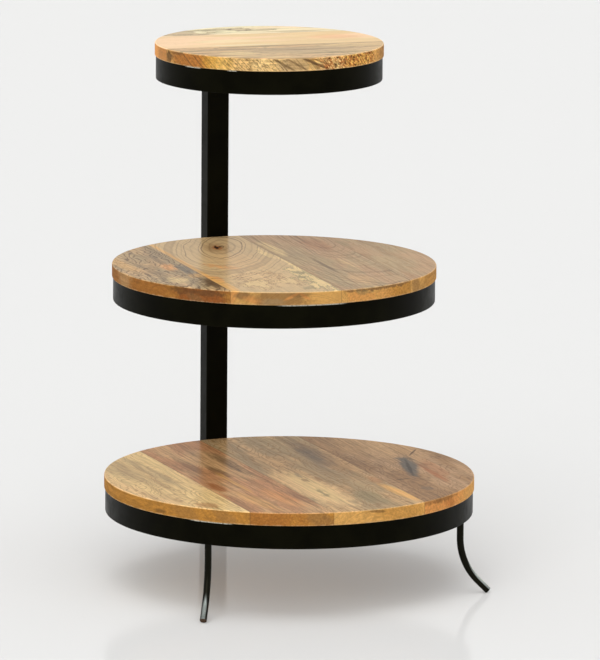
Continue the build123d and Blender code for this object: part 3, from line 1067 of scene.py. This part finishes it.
def heading(azimuth, elevation=0.0):
    """The way that an azimuth from the front towards +X and an elevation give, in degrees."""
    a, e = math.radians(azimuth), math.radians(elevation)
    return Vector((math.sin(a) * math.cos(e), -math.cos(a) * math.cos(e), math.sin(e)))


def board_arcs(radius, start, end):
    """The arcs of a disc that a board keeps, as angles from the front towards the next board."""
    low = None if start is None else math.asin(start / radius)
    high = None if end is None else math.asin(end / radius)
    if low is None:
        return [(math.pi - high, FULL_TURN + high)]
    if high is None:
        return [(low, math.pi - low)]
    return [(low, high), (math.pi - high, math.pi - low)]


def board_outline(tier, start, end, inset, steps):
    """One board's outline in plan, with its rim drawn in by inset."""
    radius = tier.wood_radius - inset
    full = board_arcs(tier.wood_radius, start, end)
    points = []
    for (low, high), (from_angle, to_angle) in zip(board_arcs(radius, start, end), full):
        count = max(6, round(steps * (to_angle - from_angle) / FULL_TURN))
        for step in range(count + 1):
            angle = low + (high - low) * step / count
            plan = (radius * math.sin(angle), -radius * math.cos(angle))
            points.append(tier.place(plan, 0.0, tier.board_skew))
    return notched(points) if tier.passes_post else points


def notched(points):
    """Steps an outline in behind the post's front face, with two square corners."""
    half = POST_HALF_WIDTH + POST_NOTCH_GAP
    face = -(POST_HALF_DEPTH + POST_NOTCH_GAP)
    rear = 4 * face

    def stepped(point):
        inside = abs(point.x) <= half + 1e-9 and point.y > rear
        return Vector((point.x, min(point.y, face), 0.0)) if inside else point

    result = []
    for here, after in following(points):
        result.append(stepped(here))
        crosses = (abs(here.x) < half) != (abs(after.x) < half)
        if crosses and min(here.y, after.y) > rear:
            edge = math.copysign(half, here.x)
            corner = here.lerp(after, (edge - here.x) / (after.x - here.x))
            pair = [corner, stepped(corner)]
            result += pair if abs(after.x) < half else pair[::-1]
    return result


def board_mesh(tier, number, start, end, sizes):
    """A board with its rim rounded at both edges and its seams cut square."""
    levels = [(tier.hoop_top + rise, run) for rise, run in quarter_turn(sizes.lower_round)]
    levels += [(tier.top - run, rise) for rise, run in quarter_turn(sizes.upper_round)]
    shape = bmesh.new()
    rings = []
    for height, inset in levels:
        outline = board_outline(tier, start, end, inset, sizes.full_turn_steps)
        rings.append([shape.verts.new((point.x, point.y, height)) for point in outline])
    stitch(shape, rings)
    shape.faces.new(rings[0])
    shape.faces.new(rings[-1])
    return smoothed(shape, f"{tier.name}_plank_{number}")


def band_mesh(tier, sizes):
    """A hoop of flat bar with its long corners rounded."""
    inner, outer = tier.bore_radius, tier.hoop_radius
    low, high = tier.hoop_bottom, tier.hoop_top
    turn = list(quarter_turn(sizes.bar_round, 3))
    section = [(outer - run, low + rise) for rise, run in turn]
    section += [(outer - rise, high - run) for rise, run in turn]
    section += [(inner + run, high - rise) for rise, run in turn]
    section += [(inner + rise, low + run) for rise, run in turn]
    shape = bmesh.new()
    rings = []
    for step in range(sizes.full_turn_steps):
        angle = FULL_TURN * step / sizes.full_turn_steps
        rings.append([
            shape.verts.new(tier.place((r * math.sin(angle), -r * math.cos(angle)), z, 0.0))
            for r, z in section])
    stitch(shape, rings, closed=True)
    return smoothed(shape, f"{tier.name}_band", crease=60.0)


# Screws and welds, set out by geometry nodes

SHANK_RADIUS = 1.95 * MM
CORE_RADIUS = 1.45 * MM
HEAD_DEPTH = 2.3 * MM
RECESS_DEPTH = 1.3 * MM
THREAD_START = 4.0 * MM
THREAD_END = 13.0 * MM
THREAD_PITCH = 1.6 * MM
SCREW_TIP = (0.25 * MM, 15.8 * MM)
SCREW_STEPS = 24

# A screw's head, from the flat of its crown to its widest place, in shares of its radius and
# depth, and on to the flat against the bar, in shares of its radius and in metres
CROWN_SHARES = ((0.52, 1.0), (0.72, 0.93), (0.88, 0.74), (0.97, 0.5), (1.0, 0.3))
HEAD_EDGE = ((0.99, -0.1 * MM), (0.95, 0.0))
# One turn of its thread, in radii and shares of the pitch
THREAD_TURN = ((CORE_RADIUS, 0.25), (CORE_RADIUS, 0.6), (SHANK_RADIUS, 0.85))
# How far the arms of its cross recess reach and how wide they are, in shares of its radius
RECESS_MOUTH = (0.44, 0.2)
RECESS_FLOOR = (0.3, 0.12)

BEAD_END_MARGIN = 2.0 * MM
LEG_BEAD_TOP_MARGIN = 3.0 * MM
BAR_BEAD_MARGIN = 1.5 * MM
BAR_BEAD_SIZE = 0.8
BAR_BEAD_STEPS = 8
RIPPLE_DEPTH = 0.1
# How far a bead's middle lies from the two faces that it joins, in shares of its radius
POST_BEAD_SHARES = (0.45, 0.3)
LEG_BEAD_SHARES = (0.45, 0.15)
BAR_BEAD_SHARES = (0.4, 0.4)


def coated_tree(w, inner, geometry):
    """Ends a geometry node tree with its geometry made real and coated: the tree."""
    real = w.out("GeometryNodeRealizeInstances", inputs={"Geometry": geometry})
    return w.close(Geometry=w.out("GeometryNodeSetMaterial", inputs={
        "Geometry": real, "Material": inner["Finish"]}))


def screw_tree():
    """Sets a screw on every point, each at its own random turn."""
    w, inner = new_tree("Screws on their places", "GeometryNodeTree", Geometry="Geometry",
                        Screw="Object", Size="Float", Seed="Int", Finish="Material")
    source = w.out("GeometryNodeObjectInfo", output="Geometry", inputs={"Object": inner["Screw"]})
    chance = w.node("FunctionNodeRandomValue", data_type="FLOAT", inputs={"Seed": inner["Seed"]})
    w.feed(chance.inputs[3], FULL_TURN)
    return coated_tree(w, inner, w.out("GeometryNodeInstanceOnPoints", inputs={
        "Points": inner["Geometry"], "Instance": source, "Scale": w.triple(inner["Size"]),
        "Rotation": w.combined(0.0, 0.0, chance.outputs[1])}))


def bead_tree():
    """Lays a rippled weld bead, tapered at both ends, along every edge path."""
    w, inner = new_tree("Weld beads on their paths", "GeometryNodeTree", Geometry="Geometry",
                        Radius="Float", Ripple_Pitch="Float", Ripple_Depth="Float",
                        Seed="Float", Finish="Material")
    path = w.out("GeometryNodeMeshToCurve", inputs={"Mesh": inner["Geometry"]})
    even = w.out("GeometryNodeResampleCurve", mode="LENGTH", inputs={
        "Curve": path, "Length": w.math("DIVIDE", inner["Ripple Pitch"], 5.0)})
    along = w.node("GeometryNodeSplineParameter").outputs
    phase = w.times(w.math("DIVIDE", along["Length"], inner["Ripple Pitch"]), FULL_TURN)
    ripple = w.scaled(w.math("SINE", phase), inner["Ripple Depth"], 1.0)
    drift = w.out("ShaderNodeTexNoise", noise_dimensions="1D", inputs={
        "W": w.scaled(along["Length"], 260.0, inner["Seed"]), "Detail": 2.0})
    uneven = w.times(ripple, w.scaled(drift, 0.36, 0.8))
    to_end = w.minus(1.0, w.math("ABSOLUTE", w.scaled(along["Factor"], 2.0, -1.0)))
    taper = w.math("SQRT", w.math("MULTIPLY_ADD", to_end, 7.0, 0.12, clamp=True))
    sized = w.out("GeometryNodeSetCurveRadius", inputs={
        "Curve": even, "Radius": w.times(uneven, taper, inner["Radius"])})
    section = w.out("GeometryNodeCurvePrimitiveCircle", mode="RADIUS",
                    inputs={"Resolution": 12, "Radius": 1.0})
    tube = w.node("GeometryNodeCurveToMesh", inputs={
        "Curve": sized, "Profile Curve": section, "Fill Caps": True})
    if "Scale" in tube.inputs:
        w.feed(tube.inputs["Scale"], w.out("GeometryNodeInputRadius"))
    return coated_tree(w, inner, w.out("GeometryNodeSetShadeSmooth", inputs={
        "Geometry": tube.outputs[0]}))


def grown(name, mesh, tree, **inputs):
    """The plain mesh that a geometry node tree makes of a mesh."""
    draft = linked("draft", mesh)
    modifier = draft.modifiers.new("tree", "NODES")
    modifier.node_group = tree
    values = spaced(inputs)
    for item in tree.interface.items_tree:
        if item.in_out == "INPUT" and item.name in values:
            modifier[item.identifier] = values[item.name]
    draft.update_tag()
    bpy.context.view_layer.update()
    return settled_mesh(draft, name)


def screw_places(tier):
    """Where a tier's screws stand under its bars: two a bar."""
    skew = math.radians(tier.board_skew - tier.bar_turn)
    end_radius = tier.bore_radius - BAR_END_GAP
    half_length = math.sqrt(end_radius ** 2 - (tier.bar_offset + BAR_WIDTH / 2) ** 2)
    places = []
    for offset in (-tier.bar_offset, tier.bar_offset):
        crossings = [(seam - offset * math.sin(skew)) / math.cos(skew) for seam in tier.seams]
        for x in ((crossings[0] - half_length) / 2, (crossings[-1] + half_length) / 2):
            places.append(tier.place((x, offset), tier.bar_underside, tier.bar_turn))
    return places


def cross_ring(shape, head, shares, height):
    """Vertices round a cross-shaped recess in a head of a given radius."""
    reach, half = head * shares[0], head * shares[1] / 2
    ring = []
    for turn in range(4):
        angle = math.pi / 2 * turn
        for x, y in ((reach, -half), (reach, half), (half, half)):
            ring.append(shape.verts.new((x * math.cos(angle) - y * math.sin(angle),
                                         x * math.sin(angle) + y * math.cos(angle), height)))
    return ring


def screw_mesh(head_diameter):
    """A pan-head wood screw that points up, with its head's flat at height zero."""
    head = head_diameter / 2
    profile = [(head * across, -HEAD_DEPTH * down) for across, down in CROWN_SHARES]
    profile += [(head * across, level) for across, level in HEAD_EDGE]
    profile += [(SHANK_RADIUS, 0.0), (SHANK_RADIUS, THREAD_START)]
    height = THREAD_START
    while height < THREAD_END:
        profile += [(radius, height + share * THREAD_PITCH) for radius, share in THREAD_TURN]
        height += THREAD_PITCH
    profile += [(CORE_RADIUS, height), SCREW_TIP]
    turns = [FULL_TURN * step / SCREW_STEPS for step in range(SCREW_STEPS)]
    shape = bmesh.new()
    rings = [[shape.verts.new((radius * math.cos(turn), radius * math.sin(turn), height))
              for turn in turns] for radius, height in profile]
    stitch(shape, rings)
    shape.faces.new(rings[-1])
    mouth = cross_ring(shape, head, RECESS_MOUTH, -HEAD_DEPTH)
    floor = cross_ring(shape, head, RECESS_FLOOR, RECESS_DEPTH - HEAD_DEPTH)
    edges = [shape.edges.get(pair) or shape.edges.new(pair)
             for ring in (rings[0], mouth) for pair in following(ring)]
    bmesh.ops.triangle_fill(shape, edges=edges, use_beauty=True)
    stitch(shape, [mouth, floor])
    shape.faces.new(floor)
    return smoothed(shape, "screw", crease=40.0)


def paths_mesh(paths):
    """Loose edge paths through lists of points."""
    mesh = bpy.data.meshes.new("paths")
    points, edges = [], []
    for path in paths:
        first = len(points)
        points += [tuple(point) for point in path]
        edges += [(first + index, first + index + 1) for index in range(len(path) - 1)]
    mesh.from_pydata(points, edges, [])
    return mesh


def upright(x, y, low, high):
    return [Vector((x, y, low)), Vector((x, y, high))]


def post_bead_paths(tier, radius):
    """Upright paths in the grooves between a hoop and the post's front corners."""
    low, high = tier.hoop_bottom + BEAD_END_MARGIN, tier.hoop_top - BEAD_END_MARGIN
    across = POST_HALF_WIDTH + POST_BEAD_SHARES[0] * radius
    along = -POST_HALF_DEPTH + POST_BEAD_SHARES[1] * radius
    return [upright(side * across, along, low, high) for side in (-1, 1)]


def leg_bead_paths(tier, radius):
    """Upright paths in the grooves between each leg's top and the hoop's bore."""
    low, high = tier.hoop_bottom + BEAD_END_MARGIN, tier.bar_underside - LEG_BEAD_TOP_MARGIN
    reach = tier.bore_radius - LEG_BEAD_SHARES[0] * radius
    aside = LEG_RADIUS - LEG_BEAD_SHARES[1] * radius
    paths = []
    for leg in LEGS.values():
        outward = heading(leg.place)
        for side in (-1, 1):
            point = Vector((*tier.middle, 0.0)) + outward * reach
            point += UP.cross(outward) * side * aside
            paths.append(upright(point.x, point.y, low, high))
    return paths


def bar_bead_paths(tier, radius):
    """Curved paths under each end of both bars, in the corner with the hoop's bore."""
    reach = tier.bore_radius - BAR_BEAD_SHARES[0] * radius
    height = tier.bar_underside - BAR_BEAD_SHARES[1] * radius
    low = math.asin((tier.bar_offset - BAR_WIDTH / 2 + BAR_BEAD_MARGIN) / reach)
    high = math.asin((tier.bar_offset + BAR_WIDTH / 2 - BAR_BEAD_MARGIN) / reach)
    angles = [low + (high - low) * step / BAR_BEAD_STEPS for step in range(BAR_BEAD_STEPS + 1)]
    return [[tier.place((side_x * reach * math.cos(angle), side_y * reach * math.sin(angle)),
                        height, tier.bar_turn) for angle in angles]
            for side_x in (-1, 1) for side_y in (-1, 1)]


# Stage

CAMERA_AZIMUTH = -23.901
CAMERA_ELEVATION = 10.776
CAMERA_ROLL = 0.428
CAMERA_DISTANCE = 8.857089
CAMERA_LENS = 352.19
CAMERA_AIM = (0.026498, -0.2325, 0.345372)
CAMERA_SENSOR = 36.0
CAMERA_FAR_END = 200.0
LAMP_SPREAD = 50.0
FLOOR_HALF_WIDTH = 30.0

# Each lamp's azimuth from the front towards +X and its elevation, in degrees, and whether its
# light leaves the floor out or keeps to the floor
LAMPS = {
    "key": (-38.0, 45.0, ""),
    "side": (50.0, 35.0, "EXCLUDE"),
    "rear": (156.0, 35.0, "EXCLUDE"),
    "overhead": (-24.0, 78.0, "INCLUDE"),
    "wash": (-24.0, 78.0, "INCLUDE"),
}


def add_camera():
    """The camera that sees the table as the photograph does."""
    roll = math.radians(CAMERA_ROLL)
    back = heading(CAMERA_AZIMUTH, CAMERA_ELEVATION)
    right = UP.cross(heading(CAMERA_AZIMUTH))
    above = back.cross(right)
    side = math.cos(roll) * right + math.sin(roll) * above
    top = -math.sin(roll) * right + math.cos(roll) * above
    across, aim_y, aim_z = CAMERA_AIM
    target = right * across + Vector((0.0, aim_y, aim_z))
    data = bpy.data.cameras.new("camera")
    data.lens = CAMERA_LENS
    data.sensor_width = CAMERA_SENSOR
    data.clip_end = CAMERA_FAR_END
    camera = linked("camera", data)
    turn = Matrix((side, top, back)).transposed().to_4x4()
    camera.matrix_world = Matrix.Translation(target + back * CAMERA_DISTANCE) @ turn
    bpy.context.scene.camera = camera


def add_lamp(name, strength, floor):
    """A large soft lamp far away."""
    azimuth, elevation, floor_state = LAMPS[name]
    data = bpy.data.lights.new(name, "SUN")
    data.energy = strength
    data.angle = math.radians(LAMP_SPREAD)
    data.use_shadow = name != "wash"
    lamp = linked(name, data)
    lamp.rotation_euler = heading(azimuth, elevation).to_track_quat("Z", "Y").to_euler()
    if floor_state:
        lamp.visible_glossy = False
        lit = bpy.data.collections.new(f"{name}_receivers")
        lit.objects.link(floor)
        lit.collection_objects[0].light_linking.link_state = floor_state
        lamp.light_linking.receiver_collection = lit


def add_world(stage):
    """An even pale surround: the background's own tone where it is seen, fill light elsewhere."""
    world = bpy.data.worlds.new("surround")
    world.use_nodes = True
    world.node_tree.nodes.clear()
    w = Wiring(world.node_tree)
    rays = w.node("ShaderNodeLightPath").outputs
    seen = w.math("MAXIMUM", rays["Is Camera Ray"],
                  w.math("MAXIMUM", rays["Is Glossy Ray"], rays["Is Transmission Ray"]))
    colour = w.blend(seen, written([stage.fill] * 3), written(stage.floor))
    w.node("ShaderNodeOutputWorld", w.out("ShaderNodeBackground", colour, 1.0))
    world.cycles.sampling_method = "NONE"
    bpy.context.scene.world = world


def floor_material(stage):
    """A plain pale floor that mirrors a little of what stands on it."""
    material, w, where = new_material("pale_floor")
    lit = Vector(stage.floor) * stage.ground
    tone = w.blend(w.noise(where, 1.3), written(lit), written(lit * 0.995))
    matt = w.out("ShaderNodeBsdfDiffuse", tone)
    mirror = w.out("ShaderNodeBsdfGlossy", (1.0, 1.0, 1.0, 1.0), 0.1)
    w.node("ShaderNodeOutputMaterial",
           w.out("ShaderNodeMixShader", stage.floor_mirror, matt, mirror))
    return material


def add_floor(stage):
    half = FLOOR_HALF_WIDTH
    mesh = bpy.data.meshes.new("floor")
    mesh.from_pydata([(-half, -half, 0), (half, -half, 0), (half, half, 0), (-half, half, 0)],
                     [], [(0, 1, 2, 3)])
    floor = coat(linked("floor", mesh), floor_material(stage))
    return floor


# Operators

class TABLE_OT_stage(bpy.types.Operator):
    """Add the floor, the lamps, the surround and the camera"""

    bl_idname = "table.stage"
    bl_label = "Stage"

    def execute(self, context):
        stage = context.scene.table_stage
        context.scene.view_settings.view_transform = "Standard"
        add_camera()
        add_world(stage)
        floor = add_floor(stage)
        for name in LAMPS:
            add_lamp(name, getattr(stage, name), floor)
        return {"FINISHED"}


class TABLE_OT_boards(bpy.types.Operator):
    """Make the varnished boards of the three round tops"""

    bl_idname = "table.boards"
    bl_label = "Boards"

    def execute(self, context):
        for tier in TIERS:
            cuts = [None, *tier.seams, None]
            for number, (start, end) in enumerate(zip(cuts, cuts[1:]), start=1):
                mesh = board_mesh(tier, number, start, end, context.scene.table_sizes)
                low = -tier.wood_radius if start is None else start
                high = tier.wood_radius if end is None else end
                wood = board_material(tier, number, low, high)
                add_piece(f"{tier.name}_plank_{number}", mesh, wood,
                          "wood", f"{tier.name}_board_{number}")
        return {"FINISHED"}


class TABLE_OT_hoops(bpy.types.Operator):
    """Make the three hoops of rolled flat bar"""

    bl_idname = "table.hoops"
    bl_label = "Hoops"

    def execute(self, context):
        for tier in TIERS:
            powder = steel_material(f"{tier.name}_hoop_powder_coat", tier=tier)
            add_piece(f"{tier.name}_band", band_mesh(tier, context.scene.table_sizes), powder,
                      "black_steel", f"{tier.name}_hoop")
        return {"FINISHED"}


class TABLE_OT_post(bpy.types.Operator):
    """Coat the post and give its inserts their plastic"""

    bl_idname = "table.post"
    bl_label = "Post"

    def execute(self, context):
        coat(NODES["post"], steel_material("post_powder_coat"))
        plastic = plastic_material()
        for name in ("post_top_plug", "post_foot_glide"):
            coat(NODES[name], plastic)
        return {"FINISHED"}


class TABLE_OT_legs(bpy.types.Operator):
    """Coat the two bent rod legs, with their sawn ends left bare"""

    bl_idname = "table.legs"
    bl_label = "Legs"

    def execute(self, context):
        for name, leg in LEGS.items():
            # the feet get a painted highlight of bright metal
            coat(NODES[name], steel_material(
                f"{name}_powder_coat", cut=heading(leg.flare, -LEG_END_DIP), gloss=0.1,
                smoother=0.14, highlight_height=LEG_HIGHLIGHT_HEIGHT, slopes=leg.highlight_slopes))
        return {"FINISHED"}


class TABLE_OT_bars(bpy.types.Operator):
    """Coat the cross bars"""

    bl_idname = "table.bars"
    bl_label = "Cross bars"

    def execute(self, context):
        powder = steel_material("bar_powder_coat")
        for name, node in NODES.items():
            if "_bar_" in name and not name.endswith("_welds"):
                coat(node, powder)
        return {"FINISHED"}


class TABLE_OT_screws(bpy.types.Operator):
    """Set the pan-head screws under the cross bars"""

    bl_idname = "table.screws"
    bl_label = "Screws"

    def execute(self, context):
        zinc = zinc_material()
        tree = screw_tree()
        mesh = screw_mesh(context.scene.table_sizes.screw_head)
        sample = coat(linked("screw_sample", mesh), zinc)
        for seed, tier in enumerate(TIERS, start=1):
            points = bpy.data.meshes.new("places")
            points.from_pydata([tuple(place) for place in screw_places(tier)], [], [])
            mesh = grown(f"{tier.name}_screws", points, tree,
                         Screw=sample, Size=1.0, Seed=seed, Finish=zinc)
            add_piece(f"{tier.name}_screws", mesh, zinc, "zinc_screw", f"{tier.name}_tier_screws")
        bpy.data.objects.remove(sample)
        return {"FINISHED"}


class TABLE_OT_welds(bpy.types.Operator):
    """Lay the weld beads at the post, the legs and the bars"""

    bl_idname = "table.welds"
    bl_label = "Welds"

    def execute(self, context):
        sizes = context.scene.table_sizes
        powder = steel_material("bead_powder_coat")
        tree = bead_tree()
        full, slim = sizes.bead_radius, BAR_BEAD_SIZE * sizes.bead_radius
        runs = [("leg", full, leg_bead_paths(TIERS[0], full))]
        for tier in TIERS:
            runs.append((f"{tier.name}_post", full, post_bead_paths(tier, full)))
            runs.append((f"{tier.name}_bar", slim, bar_bead_paths(tier, slim)))
        for seed, (name, radius, paths) in enumerate(runs):
            mesh = grown(f"{name}_beads", paths_mesh(paths), tree, Radius=radius,
                         Ripple_Pitch=sizes.ripple_pitch, Ripple_Depth=RIPPLE_DEPTH,
                         Seed=7.3 * seed, Finish=powder)
            add_piece(f"{name}_beads", mesh, powder, "black_steel", f"{name}_welds")
        return {"FINISHED"}


class TABLE_PT_panel(bpy.types.Panel):
    """Lists the table's sizes, finishes and pieces"""

    bl_idname = "TABLE_PT_panel"
    bl_label = "Tiered side table"
    bl_space_type = "VIEW_3D"
    bl_region_type = "UI"
    bl_category = "Table"

    def draw(self, context):
        scene = context.scene
        for settings in (scene.table_sizes, scene.table_finish, scene.table_stage):
            box = self.layout.box()
            for name in settings.__annotations__:
                box.prop(settings, name)
        for operator in OPERATORS:
            self.layout.operator(operator.bl_idname)


OPERATORS = (
    TABLE_OT_stage, TABLE_OT_boards, TABLE_OT_hoops, TABLE_OT_post, TABLE_OT_legs,
    TABLE_OT_bars, TABLE_OT_screws, TABLE_OT_welds,
)
SETTINGS = {"table_sizes": TableSizes, "table_finish": TableFinish, "table_stage": TableStage}


def register():
    for item in (*SETTINGS.values(), *OPERATORS, TABLE_PT_panel):
        bpy.utils.register_class(item)
    for name, group in SETTINGS.items():
        setattr(bpy.types.Scene, name, PointerProperty(type=group))


def unregister():
    for name in SETTINGS:
        delattr(bpy.types.Scene, name)
    for item in (TABLE_PT_panel, *reversed(OPERATORS), *reversed(SETTINGS.values())):
        bpy.utils.unregister_class(item)


def main():
    register()
    bpy.ops.table.stage()
    bpy.ops.table.boards()
    bpy.ops.table.hoops()
    bpy.ops.table.post()
    bpy.ops.table.legs()
    bpy.ops.table.bars()
    bpy.ops.table.screws()
    bpy.ops.table.welds()


if __name__ == "__main__":
    main()
